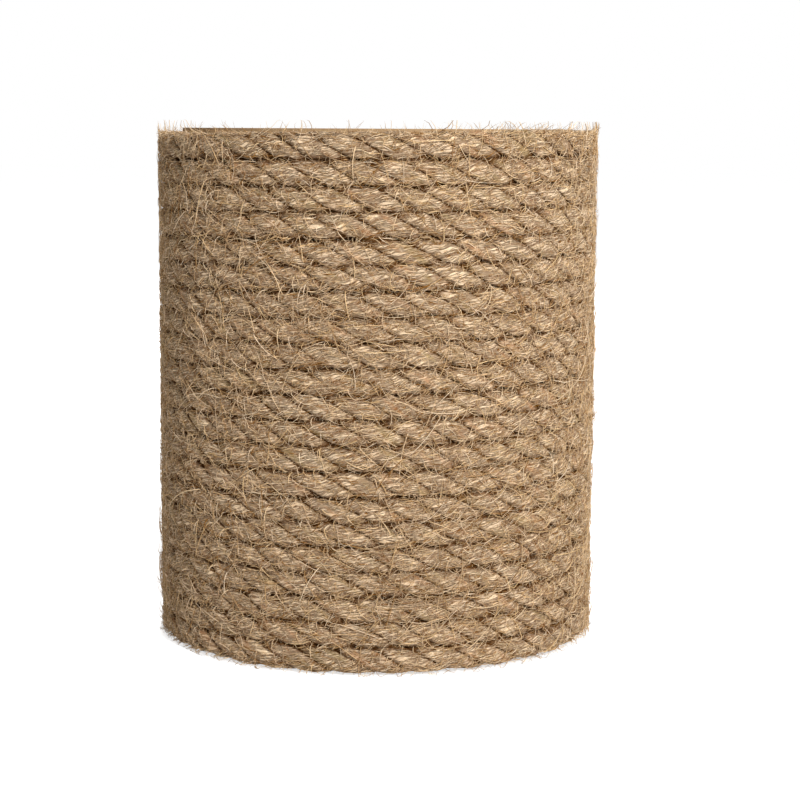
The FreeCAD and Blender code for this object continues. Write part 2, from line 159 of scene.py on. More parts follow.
class GeometryTree(Builder):
    """A Geometry Nodes tree with named inputs, realized and given its material at its end."""

    KINDS = {int: "NodeSocketInt", float: "NodeSocketFloat"}

    def __init__(self, name, inputs):
        tree = bpy.data.node_groups.new(name, "GeometryNodeTree")
        super().__init__(tree)
        tree.interface.new_socket(
            "Geometry", in_out="OUTPUT", socket_type="NodeSocketGeometry"
        )
        for label, value in inputs.items():
            kind = self.KINDS[type(value)]
            socket = tree.interface.new_socket(label, in_out="INPUT", socket_type=kind)
            socket.default_value = value
        self.entry = self.node("NodeGroupInput")

    def __getitem__(self, label):
        return Field(self.tree, self.entry.outputs[label])

    def position(self):
        return self.parts(self.output("GeometryNodeInputPosition"))

    def random(self, number, seed, low=0.0, high=1.0):
        """A random number from low to high for each value of number."""
        node = self.node("FunctionNodeRandomValue", data_type="FLOAT")
        named = {socket.identifier: socket for socket in node.inputs}
        feed(self.tree, named["Min_001"], low)
        feed(self.tree, named["Max_001"], high)
        feed(self.tree, named["ID"], number)
        feed(self.tree, named["Seed"], self["Seed"] + seed)
        return Field(self.tree, next(s for s in node.outputs if s.identifier == "Value_001"))

    def cylinder(self, sides, segments):
        """A tube of radius 1 from z -0.5 to 0.5, to be moved into its real shape."""
        inputs = {"Vertices": sides, "Side Segments": segments, "Radius": 1.0, "Depth": 1.0}
        return self.output("GeometryNodeMeshCylinder", inputs, fill_type="NGON")

    def store(self, geometry, name, value, kind="FLOAT"):
        inputs = {"Geometry": geometry, "Name": name, "Value": value}
        settings = {"data_type": kind, "domain": "POINT"}
        return self.output("GeometryNodeStoreNamedAttribute", inputs, **settings)

    def move(self, geometry, position):
        inputs = {"Geometry": geometry, "Position": position}
        return self.output("GeometryNodeSetPosition", inputs)

    def finish(self, geometry, material):
        real = self.output("GeometryNodeRealizeInstances", {"Geometry": geometry})
        smooth = self.output("GeometryNodeSetShadeSmooth", {"Geometry": real})
        inputs = {"Geometry": smooth, "Material": material}
        self.node("NodeGroupOutput", {0: self.output("GeometryNodeSetMaterial", inputs)})
        return self.tree


def labelled(values):
    """Values under the labels of a tree's inputs."""
    return {name.replace("_", " ").title(): value for name, value in values.items()}


def add_object(name, data):
    """Puts a new object into the scene."""
    thing = bpy.data.objects.new(name, data)
    bpy.context.scene.collection.objects.link(thing)
    return thing


def grow(name, tree, **values):
    """Runs a Geometry Nodes tree with the given inputs and keeps its result as a mesh."""
    holder = add_object(name, bpy.data.meshes.new(name))
    modifier = holder.modifiers.new(tree.name, "NODES")
    modifier.node_group = tree
    items = [item for item in tree.interface.items_tree if item.in_out == "INPUT"]
    sockets = {item.name: item.identifier for item in items}
    for label, value in labelled(values).items():
        modifier[sockets[label]] = value
    depsgraph = bpy.context.evaluated_depsgraph_get()
    mesh = bpy.data.meshes.new_from_object(holder.evaluated_get(depsgraph))
    holder.modifiers.clear()
    holder.data = mesh
    mesh.name = name
    return holder


# ---- Settings ----


def number(name, description, value, **kind):
    return bpy.props.FloatProperty(name=name, description=description, default=value, **kind)


def length(name, description, millimetres):
    return number(name, description, millimetres * MM, subtype="DISTANCE", unit="LENGTH")


def angle(name, description, degrees):
    return number(name, description, math.radians(degrees), subtype="ANGLE")


def count(name, description, value):
    return bpy.props.IntProperty(name=name, description=description, default=value, min=1)


def colour(name, description, red, green, blue):
    """A colour as it is seen on a screen, 0 to 255, kept as linear light."""
    linear = [linear_light(level / 255) for level in (red, green, blue)]
    return bpy.props.FloatVectorProperty(
        name=name, description=description, default=linear, subtype="COLOR", min=0.0, max=1.0
    )


def linear_light(level):
    return level / 12.92 if level <= 0.04045 else ((level + 0.055) / 1.055) ** 2.4


class RopeSettings(bpy.types.PropertyGroup):
    """The rope's lie round the post, as the frame's rope winding has it, and its make."""

    rope_diameter: length("Rope diameter", "Across the rope's strands", 6.0)
    end_margin: length("End margin", "Bare tube past the first and last turn", 0.95)
    start_azimuth: angle("Start", "Where the rope begins round the post, from +X", 150.0)
    climb_share: number("Climb", "Share of a turn in which the rope steps up", 0.25)
    flatness: number("Flatness", "How nearly the first and last turn follow the rim", 0.85)
    settling_turns: number("Settling", "Turns over which the step spreads to a helix", 5.0)
    strand_radius: length("Strand radius", "Half the width of one strand", 2.02)
    lay_length: length("Lay", "Length of rope in which a strand goes once round", 27.5)
    fibre_twist: number("Fibre twist", "Share of the lay that a strand's twist undoes", 1.15)
    row_wander: length("Row wander", "How far a row strays up or down", 0.42)
    bulge: number("Bulge", "How much a strand's thickness varies", 0.12)
    fullness: number("Fullness", "How far the rows press out into each other", 1.09)
    squareness: number("Squareness", "How square the pressed rope is across", 0.14)
    strand_rings: count("Rings", "Rings of points along a strand", 3200)
    strand_sides: count("Sides", "Points round a strand", 14)


class FibreSettings(bpy.types.PropertyGroup):
    """Loose fibre on the rope. Each thickness is half a fibre's width."""

    lying_count: count("Lying fibres", "Fibres along the strands, in each piece", 5500)
    lying_thickness: length("Lying thickness", "Of a fibre that lies on a strand", 0.09)
    fuzz_count: count("Fuzz", "Short hairs, in each piece", 19000)
    fuzz_thickness: length("Fuzz thickness", "Of a short hair", 0.066)
    loose_count: count("Loose hairs", "Hairs of a few millimetres, in each piece", 7500)
    loose_thickness: length("Loose thickness", "Of a hair of a few millimetres", 0.084)
    frayed_count: count("Frayed fibres", "At each cut end of the rope", 420)
    frayed_thickness: length("Frayed thickness", "Of a fibre at a cut end", 0.08)
    stray_count: count("Stray hairs", "Long hairs that cross the rows", 3000)
    stray_thickness: length("Stray thickness", "Of a long hair", 0.098)


class PostColours(bpy.types.PropertyGroup):
    """Colours of the post's finishes."""

    # Painted shade: put in the grooves where strands meet, between the rows and in the
    # crevices between fibres
    jute_painted_shade: colour("Jute, deep", "Fibre down in the grooves", 96, 55, 8)
    jute_dark: colour("Jute, dark", "Between the fibres of a strand", 138, 86, 24)
    # Pale fibre, and the colour of the painted sheen in the strands' broad pale bands
    jute_light: colour("Jute, light", "Fibre on the crests of the strands", 254, 221, 176)
    jute_orange: colour("Jute, orange", "Rusty patches", 204, 150, 104)
    jute_grey: colour("Jute, grey", "Greenish grey patches", 178, 150, 96)
    hair_light: colour("Hair, light", "The palest loose fibre", 255, 232, 201)
    hair_straw: colour("Hair, straw", "Yellower pale fibre", 244, 208, 154)
    hair_dark: colour("Hair, dark", "The darkest loose fibre", 140, 92, 30)
    board_light: colour("Board, light", "Palest flecks of the paper tube", 196, 166, 128)
    board_dark: colour("Board, dark", "Darkest flecks of the paper tube", 150, 118, 84)
    board_line: colour("Board, plies", "Between the plies, and the seam", 104, 78, 52)
    birch_light: colour("Birch, light", "Early wood of the discs", 226, 200, 160)
    birch_dark: colour("Birch, dark", "Late wood of the discs", 196, 160, 114)
    birch_edge: colour("Birch, edge", "Cross plies and pores", 156, 116, 74)
    zinc: colour("Zinc", "Tee nuts", 200, 203, 208)
    staple: colour("Staple", "Galvanised wire", 196, 198, 200)
    stud: colour("Stud", "Plated steel", 184, 186, 190)
    glue_clear: colour("Glue, clear", "Amber glue", 206, 160, 92)
    glue_cloudy: colour("Glue, cloudy", "Milky glue", 234, 208, 158)


class StudSettings(bpy.types.PropertyGroup):
    """The connecting stud's thread and socket."""

    thread_pitch: length("Thread pitch", "From one ridge of the thread to the next", 1.25)
    thread_depth: length("Thread depth", "From the thread's ridge to its root", 0.5)
    chamfer: length("Chamfer", "At each end of the stud", 0.9)
    socket_width: length("Socket width", "Across the flats of the hexagon", 4.0)
    socket_depth: length("Socket depth", "Of the hexagon", 5.0)


class GlueSettings(bpy.types.PropertyGroup):
    """Hot-melt glue beside the rope's ends."""

    bottom_azimuth: angle("Bottom bead", "Middle of the bead round the post", 106)
    top_azimuth: angle("Top bead", "Middle of the bead round the post", 104)
    sweep: angle("Sweep", "How far a bead runs round the post", 68)


class StageSettings(bpy.types.PropertyGroup):
    """Camera, lamps and floor."""

    distance: length("Distance", "Camera to the post's axis, level", 532.0)
    eye_height: length("Eye height", "Camera above the floor", 130.0)
    pitch: angle("Pitch", "Camera tilted down", 7.55)
    yaw: angle("Yaw", "Camera turned right, past the post", 0.65)
    roll: angle("Roll", "Post leans right in the picture", 0.29)
    focal_length: number("Focal length", "On a 36 mm wide sensor, in millimetres", 92.1)
    ambient: number("Ambient", "Strength of the even light from all round", 0.36)
    key_power: number("Key lamp", "Power of the lamp at the front right, in watts", 15.0)
    back_power: number("Back lamp", "Power of the lamp behind the post, in watts", 10.5)
    floor_size: length("Floor", "Width of the floor", 12000.0)
    floor_white: number("Floor white", "How much of its light the floor sends back", 0.8)
    floor_glow: number("Floor glow", "What lifts the floor to white as it is seen", 0.71)


SETTINGS = {
    "post_rope": RopeSettings,
    "post_fibres": FibreSettings,
    "post_stud": StudSettings,
    "post_glue": GlueSettings,
    "post_colours": PostColours,
    "post_stage": StageSettings,
}


# ---- Materials ----


class Material(Builder):
    """A node material with one Principled shader, its sockets named as Blender names them."""

    def __init__(self, name, sockets):
        self.material = bpy.data.materials.new(name)
        self.material.use_nodes = True
        super().__init__(self.material.node_tree)
        self.shader = self.tree.nodes["Principled BSDF"]
        for label, value in sockets.items():
            self.shader.inputs[label].default_value = value

    def attribute(self, name, out="Fac"):
        return self.node("ShaderNodeAttribute", attribute_name=name).outputs[out]

    def blend(self, share, first, second):
        node = self.node("ShaderNodeMix", data_type="RGBA", clamp_factor=True)
        named = {socket.identifier: socket for socket in node.inputs}
        feed(self.tree, named["Factor_Float"], share)
        for slot, value in (("A_Color", first), ("B_Color", second)):
            if not isinstance(value, bpy.types.NodeSocket):
                value = (*value, 1.0)
            feed(self.tree, named[slot], value)
        return next(s for s in node.outputs if s.identifier == "Result_Color")

    def steps(self, share, first, last):
        """A number that runs smoothly between two levels, each a pair of (share, level)."""
        inputs = {
            "Value": share, "From Min": first[0], "To Min": first[1],
            "From Max": last[0], "To Max": last[1],
        }
        return self.field("ShaderNodeMapRange", inputs, interpolation_type="SMOOTHSTEP")

    def place(self):
        """The point's coordinates on the object."""
        return self.parts(self.node("ShaderNodeTexCoord").outputs["Object"])

    def radius(self, x, y):
        return (x * x + y * y).root()

    def facing_up(self):
        """1 on a face that lies level, 0 on one that stands upright."""
        normal = self.parts(self.node("ShaderNodeTexCoord").outputs["Normal"])
        return self.steps(normal[2].size(), (0.6, 0.0), (0.8, 1.0))

    def paint(self, value, label="Base Color"):
        feed(self.tree, self.shader.inputs[label], value)

    def bump(self, height, distance, strength):
        inputs = {"Height": height, "Distance": distance, "Strength": strength}
        self.paint(self.output("ShaderNodeBump", inputs), "Normal")


def jute_strand_material(colours, rope):
    """Jute laid in a strand: crossing streaks, pale on its crests, with painted shade in its
    grooves, between its rows and in the crevices between fibres, and a painted sheen in broad
    bands along it.
    """
    make = Material("jute_strand", {"Roughness": 0.9, "Specular IOR Level": 0.04})
    cosine, sine, along = make.parts(make.attribute("strand_place", "Vector"))
    depth = Field(make.tree, make.attribute("depth"))
    twist = fibre_twist_rate(rope)

    def spot(size, spread, start=0.0):
        """A place in noise whose spots are size millimetres long on the strand."""
        run = along / (size * MM)
        return make.vector(run + start if start else run, cosine * spread, sine * spread)

    waver = make.swing(spot(5, 0.8)) * 0.12

    def streaks(turned, size, width, start, detail=0.0):
        """Streaks in line with fibres that are turned against the strand's lay."""
        around = sine.math("ARCTAN2", cosine) - along * (twist * turned) + waver
        wide = rope.strand_radius / (width * MM)
        run = along / (size * MM) + start
        vector = make.vector(run, around.cos() * wide, around.sin() * wide)
        return make.noise(vector, 1.0, detail, 0.6)

    def fibres(turned, size, width, start):
        """Thin wandering lines, 1 on a fibre's back and 0 beside it."""
        off_line = (streaks(turned, size, width, start) - 0.5).size()
        return (1.5 - off_line * 15).at_least(0.0).at_most(1.0)

    # Sizes are in millimetres; the last number starts each noise at a place of its own.
    main = streaks(1.0, 9, 0.18, 0.0)
    # Broad pale bands: fibre bundles, and partly a painted sheen
    bundle_and_sheen = streaks(0.95, 9, 0.5, 120.0, detail=1.0)
    # Thin dark lines: painted shade in the crevices between fibres, also dented by the bump
    cracks = fibres(1.15, 8, 0.5, 30.0).at_least(fibres(0.85, 8, 0.5, 70.0))
    lines = fibres(1.4, 8, 0.8, 110.0)
    for turned, size, width in ((0.6, 8, 0.8), (2.0, 4, 1.1), (-0.4, 4, 1.1)):
        lines = lines.at_least(fibres(turned, size, width, 60 + 40 * turned))
    patch = make.noise(spot(10, 0.7), 1.0, 1.0)

    # Brown between the fibres, pale on their backs, with single pale ones; the broad bundles
    # are partly a painted sheen, and the thin dark lines are painted shade in the crevices
    # between fibres
    pale = make.steps(main * 0.6 + bundle_and_sheen * 0.4 + patch * 0.25, (0.42, 0.0), (0.8, 1.0))
    surface = make.blend(pale, colours.jute_dark, colours.jute_light)
    surface = make.blend(lines * 0.55, surface, colours.hair_light)
    surface = make.blend(cracks * 0.66, surface, colours.jute_painted_shade)

    # Rusty and grey patches
    hue = make.noise(spot(9, 0.9, start=9), 1.0, 2.0)
    rusty = make.steps(hue, (0.55, 0.0), (0.75, 0.5))
    surface = make.blend(rusty, surface, colours.jute_orange)
    grey = make.steps(hue, (0.45, 0.0), (0.25, 0.5))
    surface = make.blend(grey, surface, colours.jute_grey)

    # Painted shade: deep brown where a strand meets its neighbours, and between the rows
    inner = rope.rope_diameter / 2 / rope.strand_radius - 1
    edge = sine.size() / ((cosine + inner).at_least(0.1) * math.sqrt(3))
    groove = make.steps(edge, (0.68, 0.0), (0.98, 0.85))
    surface = make.blend(groove, surface, colours.jute_painted_shade)
    crease = make.steps(depth, (0.15, 0.0), (0.45, 0.9))
    make.paint(make.blend(crease, surface, colours.jute_painted_shade))

    height = main * 0.8 + bundle_and_sheen * 0.5 + lines * 0.3 - cracks * 0.45
    make.bump(height, 0.6 * MM, 1.0)
    return make.material


def loose_fibre_material(colours):
    """Single jute fibres, each of its own shade."""
    make = Material("jute_fibre", {"Roughness": 0.8, "Specular IOR Level": 0.08})
    shade = make.attribute("shade")
    hue = (Field(make.tree, shade) * 37).fraction()
    light = make.blend(hue, colours.hair_light, colours.hair_straw)
    make.paint(make.blend(shade, colours.hair_dark, light))
    return make.material


# ---- Rope ----


def rope_facts(rope):
    """What the rope's trees need to know, worked out from its settings."""
    wound_height = POST_HEIGHT - 2 * rope.end_margin
    rows = int(wound_height / rope.rope_diameter + 1e-6)
    pitch = wound_height / rows
    as_set = (
        "climb_share", "flatness", "settling_turns", "start_azimuth", "lay_length",
        "strand_radius", "row_wander", "fullness", "squareness",
    )
    return {
        "rope_radius": rope.rope_diameter / 2,
        "wound_radius": TUBE_RADIUS + rope.rope_diameter / 2,
        "pitch": pitch,
        "first_height": rope.end_margin + pitch / 2,
        "turns": rows - rope.climb_share,
        **{name: getattr(rope, name) for name in as_set},
        "tail": rope.rope_diameter / (TURN * TUBE_RADIUS),
    }


def fibre_twist_rate(rope):
    """Radians a fibre turns about its strand for each metre, against the strand's lay."""
    outside = rope.rope_diameter / 2
    return -rope.fibre_twist * TURN / rope.lay_length * outside / rope.strand_radius


class RopeTree(GeometryTree):
    """A tree whose geometry follows the wound rope. A place along it is counted in turns."""

    WANDERS = 3.1  # ups and downs of a row in a turn
    SWELLS = 5.3  # and swells out from the tube
    SWELL = 0.12  # millimetres
    SLACK_LENGTH = 34 * MM  # of rope, over which the lay is loose or tight
    SLACK = 0.35  # radians

    def __init__(self, name, facts, **more):
        super().__init__(name, labelled({**facts, **more, "seed": 1}))

    def centre(self, turn):
        """(azimuth, radius, height) of the rope: a helix, flat with one step at its ends."""
        helix = turn - (1 - self["Climb Share"]) * 0.5
        whole = turn.floor()
        climb = (turn - whole - 1 + self["Climb Share"]) / self["Climb Share"]
        climb = climb.at_least(0.0)
        stepped = whole + climb * climb * (3 - 2 * climb)
        from_end = turn.at_most(self["Turns"] - turn).at_least(0.0)
        share = (1 - from_end / self["Settling Turns"]).at_least(0.0) * self["Flatness"]
        azimuth = turn * TURN + self["Start Azimuth"]
        wander = self.swing(self.vector(turn * self.WANDERS, self["Seed"], 0.0))
        height = self["First Height"] + self["Pitch"] * (helix + share * (stepped - helix))
        swell = self.swing(self.vector(turn * self.SWELLS, 7.0, 3.0))
        radius = self["Wound Radius"] + swell.at_least(-0.2) * self.SWELL * MM
        return azimuth, radius, height + wander * self["Row Wander"]

    def bareness(self, turn):
        """1 in the last turn, where the rope's upper side lies bare, and -1 in the first."""
        last = (turn - self["Turns"] + 1.05) * 12
        first = (0.95 - turn) * 12
        return last.at_least(0.0).at_most(1.0) - first.at_least(0.0).at_most(1.0)

    def lay(self, turn, strand):
        """Angle about the rope's axis of the middle of a strand, at a turn of the rope."""
        along = turn * self["Wound Radius"] * TURN
        slack = self.swing(self.vector(along / self.SLACK_LENGTH, 2.0, 5.0)) * self.SLACK
        return (strand / 3 - along / self["Lay Length"]) * TURN + slack

    def pressed(self, outward, upward):
        """A point of the round rope's section, moved to where the pressed rope has it."""
        corner = (outward * upward * 2 / (outward * outward + upward * upward)).power(2.0)
        swell = 1 + corner * self["Squareness"]
        return outward * swell, upward * swell * self["Fullness"]

    def at(self, azimuth, reach, height):
        """The point at an azimuth, a distance from the post's axis and a height."""
        return self.vector(azimuth.cos() * reach, azimuth.sin() * reach, height)

    def place(self, turn, outward, upward):
        """The point at a distance outward and upward of the rope's centre."""
        azimuth, radius, height = self.centre(turn)
        outward, upward = self.pressed(outward, upward)
        reach = (radius + outward).at_least(TUBE_RADIUS + 0.02 * MM)
        return self.at(azimuth, reach, height + upward)

    def surface(self, turn, direction, fill=0.76):
        """Distance from the rope's axis to its outside, with the grooves partly filled."""
        third = TURN / 3
        inner = self["Rope Radius"] - self["Strand Radius"]
        off = (direction - self.lay(turn, 0) + third / 2).math("FLOORED_MODULO", third)
        off = off - third / 2
        reach = self["Strand Radius"] * self["Strand Radius"] - (inner * off.sin()).power(2.0)
        outside = inner * off.cos() + reach.at_least(0.0).root()
        return outside.math("SMOOTH_MAX", self["Rope Radius"] * fill, 0.3 * MM)


def strand_tree(facts, rope, material):
    """One strand of the rope, laid round its axis and pressed flat against the other two."""
    tree = RopeTree(
        "laid_strand", facts, strand=0, rings=rope.strand_rings, sides=rope.strand_sides,
        bulge=rope.bulge,
    )
    tube = tree.cylinder(tree["Sides"], tree["Rings"])
    x, y, z = tree.position()
    round_strand = y.math("ARCTAN2", x)
    round_strand = round_strand - round_strand.sin() * 0.35  # more points on the outside
    x, y = round_strand.cos(), round_strand.sin()
    turn = (z + 0.5) * (tree["Turns"] + 2 * tree["Tail"]) - tree["Tail"]
    along = turn * tree["Wound Radius"] * TURN
    strand = tree["Strand"]
    lump = tree.swing(tree.vector(along / (5 * MM) + strand * 31.7, x * 1.1, y * 1.1), 2.0)
    squared = 1 + (x * y * 2).power(2.0) * tree["Squareness"]
    thickness = tree["Strand Radius"] * squared * (1 + lump * tree["Bulge"])
    inner = tree["Rope Radius"] - tree["Strand Radius"]
    outward = (inner + thickness * x).at_least(0.05 * MM)
    limit = outward * math.sqrt(3)  # a third of the rope's section, where strands meet
    sideways = (thickness * y * -1).at_least(limit * -1).at_most(limit)
    lay = tree.lay(turn, strand)
    off_axis = outward * lay.cos() - sideways * lay.sin()
    upward = outward * lay.sin() + sideways * lay.cos()
    place = tree.place(turn, off_axis, upward)
    kept = tree.store(tube, "strand_place", tree.vector(x, y, along), "FLOAT_VECTOR")
    # How deep a point lies in the crease between rows; the strand material paints shade there
    bare = off_axis.at_least(upward * tree.bareness(turn))
    kept = tree.store(kept, "depth", 1 - bare / tree["Rope Radius"])
    return tree.finish(tree.move(kept, place), material)


class FibreTree(RopeTree):
    """Many thin fibres, each a three-sided spike whose middle line a formula gives."""

    SIDES = 3

    def __init__(self, name, facts, segments, **more):
        size = {"count": 1000, "segments": segments, "thickness": 0.08 * MM}
        super().__init__(name, facts, **size, **more)
        inputs = {
            "Vertices": self.SIDES, "Side Segments": self["Segments"],
            "Radius Top": 0.0, "Depth": 1.0,
        }
        spike = self.output("GeometryNodeMeshCone", inputs, fill_type="NGON")
        x, y, z = self.position()
        width = (1 - z).at_least(0.001)
        across = self.vector(x / width, y / width, z)
        marked = self.store(spike, "across", across, "FLOAT_VECTOR")
        points = self.output("GeometryNodeMeshLine", {"Count": self["Count"]})
        inputs = {"Points": points, "Instance": marked}
        spikes = self.output("GeometryNodeInstanceOnPoints", inputs)
        self.geometry = self.output("GeometryNodeRealizeInstances", {"Geometry": spikes})
        kept = self.output(
            "GeometryNodeInputNamedAttribute", {"Name": "across"}, data_type="FLOAT_VECTOR"
        )
        self.x, self.y, self.along = self.parts(kept)
        points_each = self["Segments"] * self.SIDES + 1
        index = self.field("GeometryNodeInputIndex")
        self.number = (index / points_each + 1e-4).floor()

    def draw(self, seed, low=0.0, high=1.0):
        """A random number for each fibre."""
        return self.random(self.number, seed, low, high)

    def shaded(self, point, shade, material):
        """The tree, with its fibres moved to their points and given their shades."""
        moved = self.move(self.geometry, point)
        return self.finish(self.store(moved, "shade", shade), material)


def lying_fibre_tree(facts, material):
    """Fibres that lie on the strands, nearly along the rope, and bridge its grooves."""
    tree = FibreTree("lying_fibres", facts, segments=5, longest=9 * MM, slope=0.45)
    middle = tree.draw(1) * tree["Turns"]
    size = tree.draw(2, 0.35, 1.0) * tree["Longest"]
    place = (tree.along - 0.5) * size
    turn = middle + place / (tree["Wound Radius"] * TURN)
    slope = (tree.draw(3) + tree.draw(13) - 0.9) * tree["Slope"]
    start = tree.draw(4, -1.6, 1.6) + tree.bareness(middle) * tree.draw(15) * 1.2
    bend = tree.draw(5, -1.0, 1.0) * place * place / (11 * MM)
    wave = (place / (0.9 * MM) + tree.draw(14, 0.0, TURN)).sin() * 0.12 * MM
    direction = start + (slope * place + bend + wave) / tree["Rope Radius"]
    crest = tree.surface(turn, direction)
    lift = tree.draw(6, -0.05, 0.12) * MM
    curl = tree.along * (1 - tree.along) * tree.draw(7, -0.3, 0.8) * MM
    thick = tree["Thickness"] * tree.draw(8, 0.6, 1.4)
    thick = thick * (1.1 - (tree.along * 2 - 1).size().power(3.0))
    outward = crest + lift + curl + tree.x * thick
    point = tree.place(
        turn,
        outward * direction.cos() - tree.y * thick * direction.sin(),
        outward * direction.sin() + tree.y * thick * direction.cos(),
    )
    return tree.shaded(point, tree.draw(9), material)


def hair_tree(facts, material):
    """Hairs that root in the rope's surface and curl across its rows or stand off it."""
    tree = FibreTree(
        "loose_hairs", facts, segments=7, shortest=3 * MM, longest=13 * MM,
        rise=0.16, hover=0.4 * MM, curl=1.0, woolly=0.8,
    )
    # Where it roots, and how woolly the rope is there
    turn = tree.draw(2) * tree["Turns"]
    direction = tree.draw(3, -1.25, 1.25) + tree.bareness(turn) * tree.draw(10) * 1.4
    depth = tree.surface(turn, direction, 0.6) - 0.35 * MM
    azimuth, radius, height = tree.centre(turn)
    wool = tree.swing(
        tree.vector(azimuth.cos() * 2.6, azimuth.sin() * 2.6, height / (20 * MM))
    )
    wool = wool * tree["Woolly"] + 1

    # Its arc over the post's face: length, heading and curl
    spread = (tree["Longest"] - tree["Shortest"]) * wool.at_least(0.25)
    size = tree["Shortest"] + tree.draw(1).power(1.7) * spread
    heading = tree.draw(4, 0.0, TURN)
    heading = heading - (heading * 2).sin() * 0.25  # more hairs run up and down than across
    curl = tree.draw(5, 0.1, 1.0) * tree["Curl"]
    far = tree.along * size
    bent = heading + curl * tree.along
    round_way = (bent.sin() - heading.sin()) * size / curl
    up_way = (heading.cos() - bent.cos()) * size / curl

    # How far it stands off
    rise = tree.draw(6).power(1.6) * tree["Rise"] * wool.at_least(0.3)
    root_out, root_up = tree.pressed(depth * direction.cos(), depth * direction.sin())
    root = radius + root_out
    crest = radius + tree["Rope Radius"] + tree.draw(9) * tree["Hover"]
    out = (far / (1.2 * MM)).at_most(1.0)
    reach = root + (crest - root) * out * (2 - out) + far * rise * (1 - tree.along * 0.5)

    thick = tree["Thickness"] * tree.draw(7, 0.6, 1.3)
    thick = thick * (1.05 - tree.along * tree.along * 0.8)
    azimuth = azimuth + (round_way - bent.sin() * tree.x * thick) / reach
    height = height + root_up + up_way + far * rise * 0.7 + bent.cos() * tree.x * thick
    height = height.at_least(FLOOR_GAP).at_most(POST_HEIGHT + HAIR_OVER_TOP)
    point = tree.at(azimuth, reach + tree.y * thick, height)
    return tree.shaded(point, tree.draw(8).power(0.7), material)


def frayed_end_tree(facts, material):
    """Fibres that fan out of one cut end of the rope: 0 is its start and 1 its finish."""
    tree = FibreTree("frayed_end", facts, segments=5, longest=5 * MM, end=0, spread=0.45)
    size = tree.draw(1, 0.15, 1.0) * tree["Longest"]
    far = tree.along * size
    forward = tree["End"] * 2 - 1
    cut = (tree["Turns"] + tree["Tail"] * 2) * tree["End"] - tree["Tail"]
    root = cut - forward * 0.5 * MM / facts["wound_radius"] / TURN
    turn = root + forward * far / (tree["Wound Radius"] * TURN)
    direction = tree.draw(2, 0.0, TURN)
    off_axis = tree.draw(3).root() * tree["Rope Radius"] * 0.88
    off_axis = off_axis * (1 + tree.along * tree["Spread"] * tree.draw(4))
    bend = tree.along * far * 0.5
    thick = tree["Thickness"] * (1.05 - tree.along * tree.along * 0.7)
    outward = off_axis * direction.cos() + bend * tree.draw(5, -0.7, 1.0) + tree.x * thick
    upward = off_axis * direction.sin() + bend * tree.draw(6, -1.0, 0.6) + tree.y * thick
    azimuth, radius, height = tree.centre(turn)
    reach = (radius + outward).at_least(TUBE_RADIUS + 0.1 * MM)
    point = tree.at(azimuth, reach, (height + upward).at_least(FLOOR_GAP))
    return tree.shaded(point, tree.draw(8), material)


class POST_OT_rope(bpy.types.Operator):
    """Lays the three strands of the rope round the post"""

    bl_idname = "post.rope"
    bl_label = "Rope"

    def execute(self, context):
        scene = context.scene
        facts = rope_facts(scene.post_rope)
        material = jute_strand_material(scene.post_colours, scene.post_rope)
        tree = strand_tree(facts, scene.post_rope, material)
        for strand in range(3):
            piece = grow(f"rope_strand_{strand + 1}", tree, strand=strand)
            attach(piece, BODY)
            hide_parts("rope_winding")
        return {"FINISHED"}


class POST_OT_fibres(bpy.types.Operator):
    """Covers the rope with loose fibre: lying, stray and short"""

    bl_idname = "post.fibres"
    bl_label = "Loose fibre"

    def execute(self, context):
        fibres = context.scene.post_fibres
        facts = rope_facts(context.scene.post_rope)
        material = loose_fibre_material(context.scene.post_colours)
        lying = lying_fibre_tree(facts, material)
        hairs = hair_tree(facts, material)
        frayed = frayed_end_tree(facts, material)

        # Tree, name, pieces, first seed, fibres in a piece, half their width, their lie
        fuzz = {
            "shortest": 0.9 * MM, "longest": 3.2 * MM, "rise": 0.6, "hover": 0.1 * MM,
            "curl": 2.0, "segments": 2,
        }
        loose = {
            "shortest": 2.5 * MM, "longest": 8 * MM, "rise": 0.2, "hover": 0.25 * MM,
            "curl": 1.7, "segments": 4,
        }
        kinds = (
            (lying, "lying_fibre", 2, 10, fibres.lying_count, fibres.lying_thickness, {}),
            (hairs, "rope_fuzz", 4, 50, fibres.fuzz_count, fibres.fuzz_thickness, fuzz),
            (hairs, "loose_hair", 2, 70, fibres.loose_count, fibres.loose_thickness, loose),
        )
        pieces = [
            grow(f"{name}_{n + 1}", tree, seed=seed + n, count=number, thickness=thick, **lie)
            for tree, name, times, seed, number, thick, lie in kinds
            for n in range(times)
        ]
        size = {"count": fibres.frayed_count, "thickness": fibres.frayed_thickness}
        pieces.append(grow("frayed_start", frayed, seed=30, end=0, **size))
        pieces.append(grow("frayed_finish", frayed, seed=31, end=1, **size))
        size = {"count": fibres.stray_count, "thickness": fibres.stray_thickness}
        pieces.append(grow("stray_hairs", hairs, seed=90, **size))
        for piece in pieces:
            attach(piece, BODY)
        return {"FINISHED"}


# ---- Tube, discs and hardware ----

NUT_THREAD_RADIUS = 3.6 * MM  # a little outside a tee nut's bore, which is drawn plain


def paperboard_material(colours):
    """Grey-brown board in plies: rings on its cut ends, a spiral seam on its faces."""
    make = Material("paperboard", {"Roughness": 0.88, "Specular IOR Level": 0.2})
    x, y, z = make.place()
    ply_thickness, seam_pitch = 0.55 * MM, 88 * MM
    fleck = make.noise(make.vector(x, y, z), 1400.0, 3.0)
    ragged = make.noise(make.vector(x, y, z), 220.0) * 0.8
    plies = (make.radius(x, y) / ply_thickness + ragged).fraction()
    ply_line = make.steps((plies - 0.5).size(), (0.36, 0.0), (0.48, 1.0))
    seam = (y.math("ARCTAN2", x) / TURN + z / seam_pitch).fraction()
    seam_line = make.steps((seam - 0.5).size(), (0.494, 0.0), (0.4985, 1.0))
    end = make.facing_up()
    line = ply_line * end + seam_line * (1 - end)
    body = make.blend(fleck, colours.board_dark, colours.board_light)
    make.paint(make.blend(line * 0.6, body, colours.board_line))
    make.bump(fleck * 0.5 - line, 0.12 * MM, 0.8)
    return make.material


